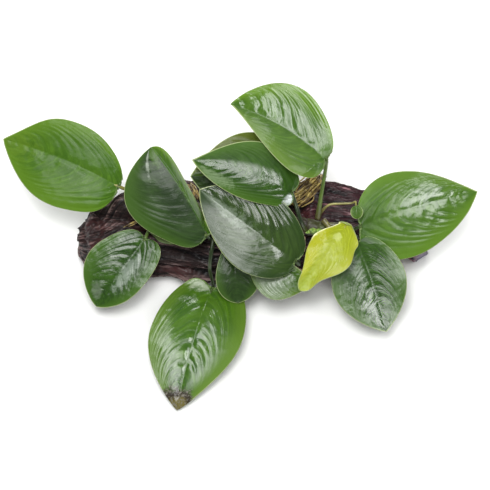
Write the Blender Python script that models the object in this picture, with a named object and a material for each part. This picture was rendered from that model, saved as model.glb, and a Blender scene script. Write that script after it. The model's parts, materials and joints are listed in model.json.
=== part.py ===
# An anubias nana plant grown onto a piece of driftwood, about 24 cm across its leaves.
# Metres, Z up. The origin is on the flat patch that the wood rests on, X runs along the
# wood and -Y is its front. Sizes below are in millimetres and are scaled once, by mm().

import math

import bmesh
import bpy
from mathutils import Matrix, Vector

for old in list(bpy.data.objects):
    bpy.data.objects.remove(old, do_unlink=True)

# Driving dimensions, millimetres
GAP = 0.3                   # clearance where two pieces touch
BLADE_THICKNESS = 0.8
STALK_RADIUS = 1.15
STALK_GAP = 1.45            # from the blade's upper face back to the middle of the stalk's end
RHIZOME_RADIUS = 4.2
WOOD_REACH = 89.0           # from the middle of the wood to either end
WOOD_SHIFT = 2.0            # how far its middle lies to the right of the origin
WOOD_BELOW = 3.0            # how far the round form goes below the flat it is worn to
BLADE_ROWS = 10             # veins from stalk to tip
BLADE_COLUMNS = 8           # from margin to margin
WOOD_AROUND = 40
WOOD_ALONG = 22

# Colours of the pieces, linear RGB
GREEN = (0.10, 0.24, 0.03)
DARK_GREEN = (0.04, 0.11, 0.03)
YELLOW = (0.55, 0.56, 0.03)
OLIVE = (0.10, 0.13, 0.02)
STALK_GREEN = (0.25, 0.32, 0.08)
BARK = (0.05, 0.018, 0.016)
ROOT_BROWN = (0.20, 0.12, 0.035)
ROOT_PALE = (0.55, 0.42, 0.30)

# One row for each leaf. base is where the stalk joins the blade, face is the way the blade
# looks. Pairs are the (left, right) halves, seen looking from base to tip: their widths, how
# far the widest place lies towards the tip, how deep the back lobe is as a share of the
# length, and the angles in degrees at which a half rises from the midrib and then bends.
# arch lifts the midrib and sweep carries it to the left. root and via are the stalk's route,
# and pitch is the angle at which the stalk meets the blade. twist turns a half from one side
# of its rise at the stalk to the other side at the tip, crest is where the arch is highest,
# and wave is the height of the ruffles along the margins.
LEAVES = {
    "far_left": {
        "base": (-66, 9.5, 43.6), "tip": (-123.5, 34, 48.5), "face": (0.0, -0.5, 0.87),
        "width": (23.5, 19.5), "full": (1.9, 1.9), "lobe": (0.03, 0.04),
        "rise": (10, 8), "curl": (-18, -16), "arch": 3.0, "sweep": -2.0,
        "root": (-37, 1.5, 35), "via": [(-50, 4.5, 40)], "pitch": 35, "color": GREEN,
    },
    "left": {
        "base": (-21.5, -18.5, 44), "tip": (-49, 18.5, 67), "face": (-0.05, -0.5, 0.87),
        "width": (27.5, 15), "full": (2.6, 2.2), "lobe": (0.08, 0.03), "sharp": (0.65, 0.6),
        "rise": (4, -74), "twist": (0, 14), "curl": (-12, -10), "arch": 1.5, "sweep": -1.2,
        "root": (-25, -2.5, 33.5), "via": [(-23.5, -11, 34.5)], "pitch": 60, "color": DARK_GREEN,
    },
    "upper_middle": {
        "base": (20, -4, 60), "tip": (-28.5, 8.3, 70.5), "face": (0.05, -0.5, 0.87),
        "width": (13.5, 16), "full": (1.6, 1.4), "lobe": (0.08, 0.08), "sharp": (0.9, 1.15),
        "rise": (14, 14), "curl": (-30, -30), "arch": 2.0, "sweep": -3.0,
        "root": (28, -11, 33.5), "via": [(25, -12, 46)], "pitch": 80, "color": DARK_GREEN,
    },
    "centre": {
        "base": (22, -31.1, 39.8), "tip": (-25, -0.8, 57.3), "face": (0.0, -0.5, 0.87),
        "width": (22, 20), "full": (1.7, 1.7), "lobe": (0.05, 0.05),
        "rise": (8, 12), "curl": (-16, -25), "arch": 2.5, "sweep": 0.0,
        "root": (22, -10, 35), "via": [(22.5, -23, 35)], "pitch": 60, "color": DARK_GREEN,
    },
    "top": {
        "base": (37.2, 7.2, 73.5), "tip": (-9.8, 35.4, 78.2), "face": (0.1, -0.45, 0.88),
        "width": (16, 21.5), "full": (0.9, 1.9), "lobe": (0.12, 0.05), "sharp": (1.15, 0.85),
        "rise": (12, 8), "curl": (-20, -30), "arch": 3.0, "sweep": -3.0,
        "root": (33.5, -6.5, 38), "via": [(35, -2, 52)], "pitch": 85, "color": GREEN,
    },
    "bottom": {
        "base": (-19.3, -34.6, 16), "tip": (-36.5, -95.3, 2.5), "face": (0.0, -0.25, 0.97),
        "width": (22.5, 22.5), "full": (1.0, 1.35), "lobe": (0.11, 0.11),
        "rise": (12, 12), "curl": (-25, -25), "arch": 5.0, "sweep": -1.5,
        "root": (-16.5, -4, 36), "via": [(-18.5, -19, 36), (-20, -27.7, 27)], "pitch": 45,
        "color": GREEN,
    },
    "lower_left": {
        "base": (-52.5, -15.6, 34), "tip": (-76.5, -40.4, 10), "face": (0.0, -0.5, 0.87),
        "width": (14, 18), "full": (1.4, 2.0), "lobe": (0.09, 0.07),
        "rise": (10, 10), "curl": (-20, -20), "arch": 4.0, "crest": 0.75, "sweep": 0.0,
        "root": (-31, -1.5, 34), "via": [(-28, -14, 32.5), (-35, -19, 31), (-44, -18, 31.5)],
        "pitch": 35, "color": GREEN,
    },
    "behind": {
        "base": (18.5, 9.9, 51.9), "tip": (-29.5, 8.4, 54.5), "face": (0.0, -0.5, 0.87),
        "width": (17, 22), "full": (2.0, 1.3), "lobe": (0.08, 0.08),
        "rise": (8, 8), "curl": (-20, -20), "arch": 2.0, "sweep": 0.0,
        "root": (15, -3.5, 39), "via": [(16, 3, 45)], "pitch": 70, "color": OLIVE,
    },
    "yellow": {
        "base": (48.5, -14.2, 44.9), "tip": (25.5, -44, 34.6), "face": (0.1, -0.5, 0.87),
        "width": (12, 10.5), "full": (1.5, 1.4), "lobe": (0.04, 0.04), "sharp": (0.7, 0.7),
        "rise": (5, 5), "curl": (-10, -15), "arch": 3.0, "sweep": 0.0, "wave": 1.2,
        "root": (36, -6.5, 38), "via": [(42, -9, 42)], "pitch": 60, "color": YELLOW,
    },
    "lower_right": {
        "base": (53.3, -18.7, 35.3), "tip": (67.5, -57, 14), "face": (0.05, -0.5, 0.87),
        "width": (17, 20.5), "full": (1.6, 1.7), "lobe": (0.11, 0.07),
        "rise": (10, 10), "curl": (-22, -22), "arch": 3.0, "sweep": 1.2,
        "root": (37, -11, 32.5), "via": [(45, -16, 33)], "pitch": 45, "color": DARK_GREEN,
    },
    "far_right": {
        "base": (55.3, -9.8, 37), "tip": (113.8, 11.3, 35.4), "face": (0.0, -0.45, 0.89),
        "width": (20, 23.5), "full": (1.1, 1.0), "lobe": (0.02, 0.08), "sharp": (1.05, 0.9),
        "rise": (10, 10), "curl": (-22, -22), "arch": 4.0, "sweep": 1.5,
        "root": (39, -8, 35), "via": [(47, -9, 36)], "pitch": 45, "color": GREEN,
    },
    "young": {
        "base": (52.5, -2.5, 44.5), "tip": (53.3, -9.5, 40.5), "face": (0.0, -0.5, 0.87),
        "width": (3.3, 3.3), "full": (1.8, 1.8), "lobe": (0.0, 0.0),
        "rise": (20, 20), "curl": (0, 0), "arch": 0.5, "sweep": 0.0,
        "root": (34, -4.5, 37), "via": [(37.5, -0.5, 41), (45, 0, 42)], "pitch": 12,
        "color": GREEN,
    },
    "under_left": {
        "base": (-8.5, -17.1, 32.2), "tip": (-6, -42.5, 17.2), "face": (0.0, -0.5, 0.87),
        "width": (8, 10), "full": (3.0, 3.0), "lobe": (0.05, 0.05), "sharp": (0.6, 0.6),
        "rise": (8, 8), "curl": (-15, -15), "arch": 2.0, "sweep": 0.0,
        "root": (-7, -5.5, 37), "via": [(-8, -11, 36)], "pitch": 15, "color": DARK_GREEN,
    },
    "under_right": {
        "base": (4.5, -26.6, 33.1), "tip": (30.5, -37.5, 28), "face": (0.0, -0.5, 0.87),
        "width": (5, 15.5), "full": (1.6, 1.6), "lobe": (0.05, 0.11),
        "rise": (8, 8), "curl": (-10, -15), "arch": 2.0, "sweep": 0.0,
        "root": (8, -8, 35), "via": [(7, -17, 35)], "pitch": 85, "color": GREEN,
    },
}

# Outline of every blade: round at the stalk, pointed at the tip, with two back lobes
BASE_ROUNDNESS = 0.5
TIP_SHARPNESS = (0.9, 0.9)  # left and right; below 0.8 the tip is blunt
LOBE_NARROWNESS = 16
VEIN_LAG = 1.6              # veins leave the midrib further back than where they end
VEIN_BOW = 0.035
FLAT_BASE = 0.15            # share of the length over which a blade opens out from its stalk
RUFFLES = 2.5               # waves along each margin of a ruffled blade
STALK_LEAD = 4.0            # last straight stretch of a stalk
STALK_FLARE = 0.25          # how much thicker a stalk is at the rhizome
YOUNG_SHARE = 0.55          # the young leaf's thickness against a full-grown one's

RHIZOME_PATH = [(38, -9, 32.5), (30, -8.5, 34), (20, -7.5, 34.5), (8, -5, 34.5), (-6, -3, 34.5),
                (-20, -0.5, 34.5), (-32, 1, 34), (-39, 1.5, 33)]

# The wood's stations from left to right: x, middle y, half depth, top
WOOD_STATIONS = [
    (-87, -4, 12, 23), (-76, -3, 18, 27), (-62, 0, 23, 30), (-45, 2, 25, 31), (-20, 0, 25, 31),
    (10, 1, 24, 30), (35, 3, 23, 28), (60, 4, 20, 26), (78, 6, 15, 21), (91, 2, 11, 14),
]

WOOD_SQUARENESS = 0.86      # below 1 the cross section is fuller than an ellipse
WOOD_CAP = 5.5              # how abruptly the ends close
STUB_START = -70.0          # left of this the upper back of the wood stops short
STUB_SHORT = 8.0
FURROW_FADE = 12.0

# Long swells of the surface: height, waves for each millimetre along X, turns, phase
WOOD_SWELLS = [(0.03, 0.11, 2, 0.0), (0.025, 0.23, -3, 1.3)]

# Roots on the wood, and the bundle of fibres that arches over its back edge
ROOTS = {
    "root_bundle": {
        "path": [(19, 5, 33.5), (26, 11, 34), (33, 18, 34.5), (36.5, 23.5, 30), (36.5, 28.5, 20)],
        "radius": [2.4, 3.3, 3.5, 2.8, 1.4], "color": ROOT_BROWN,
    },
    "root_loop": {
        "path": [(27, -12.5, 31.5), (26.5, -19, 28), (21.5, -23, 23), (26.5, -26.4, 20),
                 (29, -26, 12)],
        "radius": [0.6, 0.6, 0.6, 0.6, 0.5], "color": ROOT_PALE,
    },
    "root_left": {
        "path": [(-25, 3, 35), (-28, 11, 33), (-30, 19, 28), (-29, 25, 19), (-31, 27, 9)],
        "radius": [1.6, 1.5, 1.3, 1.0, 0.6], "color": ROOT_BROWN,
    },
    "root_back": {
        "path": [(4, -2, 35), (6, 9, 32.5), (5, 18, 27), (7, 25, 17), (5, 26.5, 8)],
        "radius": [1.4, 1.3, 1.1, 0.9, 0.6], "color": ROOT_BROWN,
    },
    "root_along": {
        "path": [(-36, 0, 32), (-45, -4, 31.5), (-54, -3, 30.5), (-64, -6, 28.5)],
        "radius": [1.1, 1.0, 0.8, 0.5], "color": ROOT_BROWN,
    },
}

BUD_CENTRE = (31.8, -12.8, 36.8)
BUD_SIZE = (2.6, 2.2, 2.6)
KNOB_CENTRE = (31, 7, 28)   # a stub of a side branch on top of the wood
KNOB_SIZE = (3.0, 7.0, 4.0)

# Ridges and furrows that run along the wood. at is the angle round the grain in degrees,
# 0 on top and 90 in front; turn is how far that drifts for each millimetre along X.
WOOD_FURROWS = [
    {"at": 14, "turn": 0.62, "width": 9, "height": -0.30, "start": -95, "end": -18},
    {"at": -18, "turn": 0.10, "width": 16, "height": 0.10, "start": -85, "end": 10},
    {"at": 62, "turn": 0.05, "width": 8, "height": 0.06, "start": -80, "end": 60},
    {"at": 80, "turn": -0.05, "width": 6, "height": -0.09, "start": -70, "end": 75},
    {"at": 98, "turn": 0.02, "width": 7, "height": 0.07, "start": -60, "end": 70},
    {"at": 40, "turn": 0.08, "width": 7, "height": -0.06, "start": -10, "end": 85},
    {"at": 22, "turn": -0.05, "width": 6, "height": 0.05, "start": 15, "end": 85},
    {"at": 2, "turn": -0.04, "width": 7, "height": -0.08, "start": 20, "end": 88},
    {"at": -35, "turn": 0.05, "width": 8, "height": -0.08, "start": -70, "end": 80},
    {"at": -60, "turn": 0.04, "width": 10, "height": 0.06, "start": -80, "end": 60},
    {"at": -88, "turn": -0.06, "width": 8, "height": -0.12, "start": -50, "end": 85},
    {"at": -112, "turn": 0.03, "width": 9, "height": 0.06, "start": -70, "end": 70},
    {"at": 92, "turn": 0.0, "width": 24, "height": 0.55, "start": 80, "end": 120},
]


def mm(point):
    return Vector(point) * 0.001


def material(name, color, roughness):
    found = bpy.data.materials.get(name)
    if found:
        return found
    made = bpy.data.materials.new(name)
    made.use_nodes = True
    shader = made.node_tree.nodes["Principled BSDF"]
    shader.inputs["Base Color"].default_value = (*color, 1.0)
    shader.inputs["Roughness"].default_value = roughness
    shader.inputs["Metallic"].default_value = 0.0
    return made


def add_object(name, mesh, finish, smooth=True):
    piece = bpy.data.objects.new(name, mesh)
    bpy.context.collection.objects.link(piece)
    mesh.materials.clear()
    mesh.materials.append(finish)
    if smooth:
        mesh.shade_smooth()
        mesh.set_sharp_from_angle(angle=math.radians(50))
    return piece


# Blades

def frame_of(leaf):
    base = Vector(leaf["base"])
    forward = Vector(leaf["tip"]) - base
    length = forward.length
    forward.normalize()
    up = Vector(leaf["face"])
    up = (up - forward * up.dot(forward)).normalized()
    return base, forward, up.cross(forward), up, length


def half_width(s, full, sharp):
    # share of the full half width at s, from 0 at the stalk to 0 at the tip
    widest = (BASE_ROUNDNESS / (BASE_ROUNDNESS + sharp * full)) ** (1 / full)
    peak = widest ** BASE_ROUNDNESS * (1 - widest ** full) ** sharp
    return s ** BASE_ROUNDNESS * max(1 - s ** full, 0.0) ** sharp / peak


def notch(s):
    # 1 where the back lobes reach furthest behind the stalk
    deepest = 1 / (1 + LOBE_NARROWNESS)
    peak = deepest ** 0.5 * (1 - deepest) ** (LOBE_NARROWNESS / 2)
    return s ** 0.5 * (1 - s) ** (LOBE_NARROWNESS / 2) / peak


def midrib_height(leaf, s):
    crest = leaf.get("crest", 0.5)
    rise = (s / crest) ** (2 * crest)
    fall = (max(1 - s, 0.0) / (1 - crest)) ** (2 - 2 * crest)
    return leaf["arch"] * rise * fall


def blade_point(leaf, row, column):
    # row runs 0..1 from vein to vein, column -1..1 from the right margin to the left one
    base, forward, left, up, length = frame_of(leaf)
    side = 0 if column >= 0 else 1
    t = abs(column)
    s_out = math.sin(row * math.pi / 2) ** 2
    s_mid = s_out ** VEIN_LAG
    u_mid = length * s_mid
    u_out = length * (s_out - leaf["lobe"][side] * notch(s_out))
    u = u_mid + (u_out - u_mid) * t - VEIN_BOW * length * 4 * t * (1 - t) * math.sin(math.pi * row)
    share = half_width(s_out, leaf["full"][side], leaf.get("sharp", TIP_SHARPNESS)[side])
    reach = leaf["width"][side] * share * t
    twist = leaf.get("twist", (0, 0))[side] * (2 * s_out - 1)
    tilt = math.radians(leaf["rise"][side] + twist + leaf["curl"][side] * t / 2)
    tilt *= min(s_out / FLAT_BASE, 1.0)
    s_here = min(max(u / length, 0.0), 1.0)
    v = reach * math.cos(tilt) * (1 if side == 0 else -1)
    v += leaf["sweep"] * 4 * s_here * (1 - s_here)
    w = reach * math.sin(tilt) + midrib_height(leaf, s_here)
    w += leaf.get("wave", 0.0) * math.sin(row * RUFFLES * 2 * math.pi + side * 2) * t * t
    return base + forward * u + left * v + up * w


def make_blade(name, leaf, share):
    # share is this leaf's thickness and fineness against a full-grown one's
    rows = round(BLADE_ROWS * share)
    columns = 2 * round(BLADE_COLUMNS * share / 2)
    bm = bmesh.new()
    bmesh.ops.create_grid(bm, x_segments=rows, y_segments=columns, size=1)
    for vert in bm.verts:
        vert.co = mm(blade_point(leaf, (vert.co.x + 1) / 2, vert.co.y))
    bmesh.ops.remove_doubles(bm, verts=bm.verts, dist=0.00002)
    mesh = bpy.data.meshes.new(name)
    bm.to_mesh(mesh)
    bm.free()
    piece = add_object(name, mesh, material(name + "_surface", leaf["color"], 0.3))
    solid = piece.modifiers.new("Thickness", "SOLIDIFY")
    solid.thickness = BLADE_THICKNESS * share * 0.001
    solid.offset = -1
    return piece


# Stems and roots

def tube(name, points, radii, sides=1, steps=3):
    curve = bpy.data.curves.new(name, "CURVE")
    curve.dimensions = "3D"
    curve.bevel_depth = 0.001
    curve.bevel_resolution = sides
    curve.use_fill_caps = True
    curve.resolution_u = steps
    spline = curve.splines.new("BEZIER")
    spline.bezier_points.add(len(points) - 1)
    for knot, point, radius in zip(spline.bezier_points, points, radii):
        knot.co = mm(point)
        knot.radius = radius
        knot.handle_left_type = "AUTO"
        knot.handle_right_type = "AUTO"
    guide = bpy.data.objects.new(name + "_guide", curve)
    mesh = bpy.data.meshes.new_from_object(guide)
    bpy.data.objects.remove(guide)
    bpy.data.curves.remove(curve)
    bm = bmesh.new()
    bm.from_mesh(mesh)
    bmesh.ops.remove_doubles(bm, verts=bm.verts, dist=0.00001)
    bmesh.ops.recalc_face_normals(bm, faces=bm.faces)
    bm.to_mesh(mesh)
    bm.free()
    mesh.name = name
    return mesh


def stalk_points(leaf):
    base, forward, _, up, _ = frame_of(leaf)
    pitch = math.radians(leaf["pitch"])
    arrival = forward * math.cos(pitch) + up * math.sin(pitch)
    end = base - arrival * STALK_GAP
    lead = end - arrival * STALK_LEAD
    return [Vector(leaf["root"])] + [Vector(p) for p in leaf["via"]] + [lead, end]


def make_stalk(name, leaf, radius):
    points = stalk_points(leaf)
    last = len(points) - 1
    radii = [radius * (1 + STALK_FLARE * (1 - i / last)) for i in range(last + 1)]
    finish = material(name + "_surface", STALK_GREEN, 0.4)
    return add_object(name, tube(name, points, radii), finish)


def cutter(name, mesh):
    piece = bpy.data.objects.new(name, mesh)
    bpy.context.collection.objects.link(piece)
    piece.hide_render = True
    piece.display_type = "WIRE"
    return piece


def cut(piece, tool):
    trim = piece.modifiers.new("Clear of " + tool.name, "BOOLEAN")
    trim.operation = "DIFFERENCE"
    trim.solver = "EXACT"
    trim.object = tool


# Driftwood

def station(x):
    rows = WOOD_STATIONS
    x = min(max(x, rows[0][0]), rows[-1][0])
    for before, after in zip(rows, rows[1:]):
        if x <= after[0]:
            break
    t = (x - before[0]) / (after[0] - before[0])
    t = t * t * (3 - 2 * t)
    return [a + (b - a) * t for a, b in zip(before[1:], after[1:])]


def window(x, start, end):
    rise = min(max((x - start) / FURROW_FADE, 0.0), 1.0)
    fall = min(max((end - x) / FURROW_FADE, 0.0), 1.0)
    return rise * fall


def relief(x, angle):
    total = 0.0
    for row in WOOD_FURROWS:
        away = (angle - row["at"] - row["turn"] * x + 180) % 360 - 180
        bell = math.exp(-(away / row["width"]) ** 2)
        total += row["height"] * bell * window(x, row["start"], row["end"])
    for height, waves, turns, phase in WOOD_SWELLS:
        total += height * math.sin(x * waves + math.radians(angle) * turns + phase)
    return total


def wood_point(reach, angle, ring):
    # reach -1..1 along the grain, ring 0..1 is how far the end caps have opened
    a = math.radians(angle)
    x = WOOD_REACH * reach + WOOD_SHIFT
    middle, half_depth, top = station(x)
    half_height = (top + WOOD_BELOW) / 2
    scale = ring * (1 + relief(x, angle))
    y = -math.copysign(abs(math.sin(a)) ** WOOD_SQUARENESS, math.sin(a)) * half_depth
    z = math.copysign(abs(math.cos(a)) ** WOOD_SQUARENESS, math.cos(a)) * half_height
    if x < STUB_START and math.cos(a) > 0.3 and math.sin(a) < 0.2:
        x += STUB_SHORT * ring
    return Vector((x, middle + y * scale, half_height - WOOD_BELOW + z * scale))


def make_wood():
    bm = bmesh.new()
    bmesh.ops.create_uvsphere(bm, u_segments=WOOD_AROUND, v_segments=WOOD_ALONG, radius=1,
                              matrix=Matrix.Rotation(math.pi / 2, 4, "Y"))
    for vert in bm.verts:
        flat = math.hypot(vert.co.y, vert.co.z)
        angle = math.degrees(math.atan2(-vert.co.y, vert.co.z))
        latitude = math.atan2(vert.co.x, flat) / (math.pi / 2)
        ring = min(1.0, (1 - abs(latitude)) * WOOD_CAP) ** 0.6
        reach = math.copysign(min(abs(latitude) * 1.06, 1.0), latitude)
        vert.co = mm(wood_point(reach, angle, ring))
    bmesh.ops.bisect_plane(bm, geom=bm.verts[:] + bm.edges[:] + bm.faces[:], dist=0.000001,
                           plane_co=(0, 0, 0), plane_no=(0, 0, -1), clear_outer=True)
    rim = [edge for edge in bm.edges if edge.is_boundary]
    bmesh.ops.edgeloop_fill(bm, edges=rim)
    bmesh.ops.recalc_face_normals(bm, faces=bm.faces)
    mesh = bpy.data.meshes.new("driftwood")
    bm.to_mesh(mesh)
    bm.free()
    return add_object("driftwood", mesh, material("driftwood_surface", BARK, 0.6))


def make_rhizome(name, extra):
    # extra makes the same stem thicker and longer, for a cutter
    radii = []
    for i in range(len(RHIZOME_PATH)):
        taper = 1.0 if 0 < i < len(RHIZOME_PATH) - 1 else 0.75
        knuckle = 1 + 0.06 * (i % 2)
        radii.append(RHIZOME_RADIUS * taper * knuckle + extra)
    path = [Vector(p) for p in RHIZOME_PATH]
    if extra:
        path[0] += (path[0] - path[1]).normalized() * extra
        path[-1] += (path[-1] - path[-2]).normalized() * extra
    return tube(name, path, radii, sides=3, steps=3)


def ellipsoid(name, centre, size):
    bm = bmesh.new()
    place = Matrix.Translation(mm(centre)) @ Matrix.Diagonal((*mm(size), 1))
    bmesh.ops.create_icosphere(bm, subdivisions=2, radius=1, matrix=place)
    mesh = bpy.data.meshes.new(name)
    bm.to_mesh(mesh)
    bm.free()
    return mesh


def make_root(name, row):
    finish = material(name + "_surface", row["color"], 0.6)
    root = add_object(name, tube(name, row["path"], row["radius"]), finish)
    cut(root, rhizome_room)
    grown = [radius + GAP for radius in row["radius"]]
    path = [Vector(p) for p in row["path"]]
    path[-1] += (path[-1] - path[-2]).normalized() * GAP
    cut(wood, cutter(name + "_room", tube(name + "_room", path, grown)))


wood = make_wood()
knob = cutter("knob", ellipsoid("knob", KNOB_CENTRE, KNOB_SIZE))
join = wood.modifiers.new("Knob", "BOOLEAN")
join.operation = "UNION"
join.solver = "EXACT"
join.object = knob
add_object("rhizome", make_rhizome("rhizome", 0), material("rhizome_surface", STALK_GREEN, 0.5))
rhizome_room = cutter("rhizome_room", make_rhizome("rhizome_room", GAP))
cut(wood, rhizome_room)

for root_name, row in ROOTS.items():
    make_root(root_name, row)

bud_finish = material("bud_surface", STALK_GREEN, 0.4)
bud = add_object("bud", ellipsoid("bud", BUD_CENTRE, BUD_SIZE), bud_finish)
cut(bud, rhizome_room)

for leaf_name, leaf in LEAVES.items():
    share = YOUNG_SHARE if leaf_name == "young" else 1.0
    make_blade("leaf_" + leaf_name, leaf, share)
    stalk = make_stalk("stalk_" + leaf_name, leaf, STALK_RADIUS * share)
    cut(stalk, rhizome_room)
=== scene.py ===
import json
import random
from math import atan2, copysign, cos, degrees, exp, hypot, log, pi, radians, sin, sqrt

import bmesh
import bpy
from mathutils import Matrix, Vector, geometry, noise


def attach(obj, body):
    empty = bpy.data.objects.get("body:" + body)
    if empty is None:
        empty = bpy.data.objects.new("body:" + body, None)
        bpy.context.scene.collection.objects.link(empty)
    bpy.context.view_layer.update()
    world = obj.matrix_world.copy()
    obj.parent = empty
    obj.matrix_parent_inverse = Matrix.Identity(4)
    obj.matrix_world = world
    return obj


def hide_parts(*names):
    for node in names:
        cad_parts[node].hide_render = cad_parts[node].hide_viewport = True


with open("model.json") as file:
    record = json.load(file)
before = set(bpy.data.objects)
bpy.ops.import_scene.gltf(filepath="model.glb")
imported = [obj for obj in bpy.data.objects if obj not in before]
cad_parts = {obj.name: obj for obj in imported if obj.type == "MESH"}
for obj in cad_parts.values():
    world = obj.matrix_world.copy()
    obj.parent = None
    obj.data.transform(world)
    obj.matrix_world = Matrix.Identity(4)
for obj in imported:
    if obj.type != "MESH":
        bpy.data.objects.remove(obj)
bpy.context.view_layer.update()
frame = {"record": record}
milli = 0.001


def mm(point):
    return Vector(point) * milli


def ease(low, high, value):
    share = min(max((value - low) / (high - low), 0.0), 1.0)
    return share * share * (3 - 2 * share)


def addObject(name, data):
    made = bpy.data.objects.new(name, data)
    bpy.context.scene.collection.objects.link(made)
    return made


# Camera, at the photograph's angle
print("camera")
camera = dict(target=(-2.5, -12.1, 22.2), elevation=60, distance=1500,
              lens=220.4, sensor=36, sight=20)


def addCamera():
    lift = radians(camera["elevation"])
    back = Vector((0, -cos(lift), sin(lift)))
    data = bpy.data.cameras.new("photoCamera")
    data.lens = camera["lens"]
    data.sensor_width = camera["sensor"]
    data.clip_end = camera["sight"]
    eye = addObject("photoCamera", data)
    eye.location = mm(camera["target"]) + back * camera["distance"] * milli
    eye.rotation_euler = (pi / 2 - lift, 0, 0)
    bpy.context.scene.camera = eye


addCamera()


# Helpers for materials
def newMaterial(name, **sockets):
    made = bpy.data.materials.new(name)
    made.use_nodes = True
    shader = made.node_tree.nodes["Principled BSDF"]
    for socket, value in sockets.items():
        shader.inputs[socket.replace("_", " ")].default_value = value
    return made, made.node_tree, shader


def addNode(tree, kind, feeds=None, **settings):
    # feeds: socket name or number -> a value, or the output that drives it
    made = tree.nodes.new("ShaderNode" + kind)
    for key, value in settings.items():
        setattr(made, key, value)
    for socket, value in (feeds or {}).items():
        if isinstance(value, bpy.types.NodeSocket):
            tree.links.new(value, made.inputs[socket])
        else:
            made.inputs[socket].default_value = value
    return made


def ownValue(tree, name):
    return addNode(tree, "Attribute", attribute_name=name).outputs["Fac"]


def maths(kind, a, b=0.5):
    # one of the two comes from a node, and its tree gets the new one
    owner = a if isinstance(a, bpy.types.NodeSocket) else b
    return addNode(owner.id_data, "Math", {0: a, 1: b}, operation=kind).outputs[0]


def times(a, b):
    return maths("MULTIPLY", a, b)


def plus(a, b):
    return maths("ADD", a, b)


def minus(a, b):
    return maths("SUBTRACT", a, b)


def ramp(value, low, high):
    feeds = {"Value": value, "From Min": low, "From Max": high}
    return addNode(value.id_data, "MapRange", feeds, interpolation_type="SMOOTHSTEP").outputs[0]


def mix(share, a, b):
    tree = share.id_data
    made = addNode(tree, "Mix", {0: share}, data_type="RGBA")
    for socket, value in ((made.inputs[6], a), (made.inputs[7], b)):
        if isinstance(value, bpy.types.NodeSocket):
            tree.links.new(value, socket)
        else:
            socket.default_value = (*value, 1)
    return made.outputs[2]


def objectNoise(tree, scale, detail=3.0, stretch=(1, 1, 1), rough=0.55):
    place = addNode(tree, "TexCoord").outputs["Object"]
    turned = addNode(tree, "Mapping", {"Vector": place, "Scale": stretch}).outputs[0]
    feeds = {"Vector": turned, "Scale": scale, "Detail": detail, "Roughness": rough}
    return addNode(tree, "TexNoise", feeds).outputs["Fac"]


def feed(shader, socket, output):
    output.id_data.links.new(output, shader.inputs[socket])


def bump(shader, height, distance, strength=1.0, under=None):
    feeds = {"Height": height, "Distance": distance, "Strength": strength}
    if under:
        feeds["Normal"] = under
    made = addNode(height.id_data, "Bump", feeds).outputs[0]
    feed(shader, "Normal", made)
    return made


def noiseAt(*place):
    return noise.noise(Vector(place))


def addPiece(name, bm, finishes, slot, *stands):
    bmesh.ops.scale(bm, vec=(milli, milli, milli), verts=bm.verts)
    bmesh.ops.recalc_face_normals(bm, faces=bm.faces)
    mesh = bpy.data.meshes.new(name)
    bm.to_mesh(mesh)
    bm.free()
    mesh.shade_smooth()
    for finish in finishes:
        mesh.materials.append(finish)
    piece = addObject(name, mesh)
    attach(piece, "root")
    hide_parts(*stands)


# Floor and lights
print("floor and lights")
window = (-155, -580, 1930)
studio = dict(
    floor=(0.88, 0.88, 0.87), floorRough=0.9, floorSize=3,
    sky=(0.96, 0.98, 1), skyStrength=0.12,
    # name, place, size, watts and whether it leaves a glint; one window, brighter in its middle
    lamps=[
        ("windowGlow", window, (1150, 1050), 9, True),
        ("window", window, (720, 680), 16, True),
        ("windowMiddle", window, (260, 260), 6, True),
        ("backWindow", (195, 735, 940), (400, 400), 4, True),
        ("rightWindow", (530, -297, 1058), (320, 320), 2.2, True),
        ("overheadWindow", (-451, 189, 1856), (700, 700), 6, True),
        ("fill", (0, -1150, 2000), (1600, 1200), 20, False),
        ("backFill", (0, 1500, 1300), (1600, 1000), 12, False),
    ])


def addStudio():
    world = bpy.data.worlds.new("studioAir")
    bpy.context.scene.world = world
    # keeps the greens as deep as they are
    bpy.context.scene.view_settings.view_transform = "Standard"
    world.use_nodes = True
    air = world.node_tree.nodes["Background"]
    air.inputs["Color"].default_value = (*studio["sky"], 1)
    air.inputs["Strength"].default_value = studio["skyStrength"]
    for name, place, size, watts, glint in studio["lamps"]:
        data = bpy.data.lights.new(name, "AREA")
        data.shape = "RECTANGLE"
        data.size = size[0] * milli
        data.size_y = size[1] * milli
        data.energy = watts
        light = addObject(name, data)
        light.location = mm(place)
        aim = mm(camera["target"]) - light.location
        light.rotation_euler = aim.to_track_quat("-Z", "Y").to_euler()
        light.visible_glossy = glint
    bm = bmesh.new()
    bmesh.ops.create_grid(bm, x_segments=1, y_segments=1, size=studio["floorSize"])
    mesh = bpy.data.meshes.new("studioFloor")
    bm.to_mesh(mesh)
    bm.free()
    floor = addObject("studioFloor", mesh)
    paint = {"Base_Color": (*studio["floor"], 1), "Roughness": studio["floorRough"]}
    mesh.materials.append(newMaterial("floorPaint", **paint)[0])


addStudio()


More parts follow.
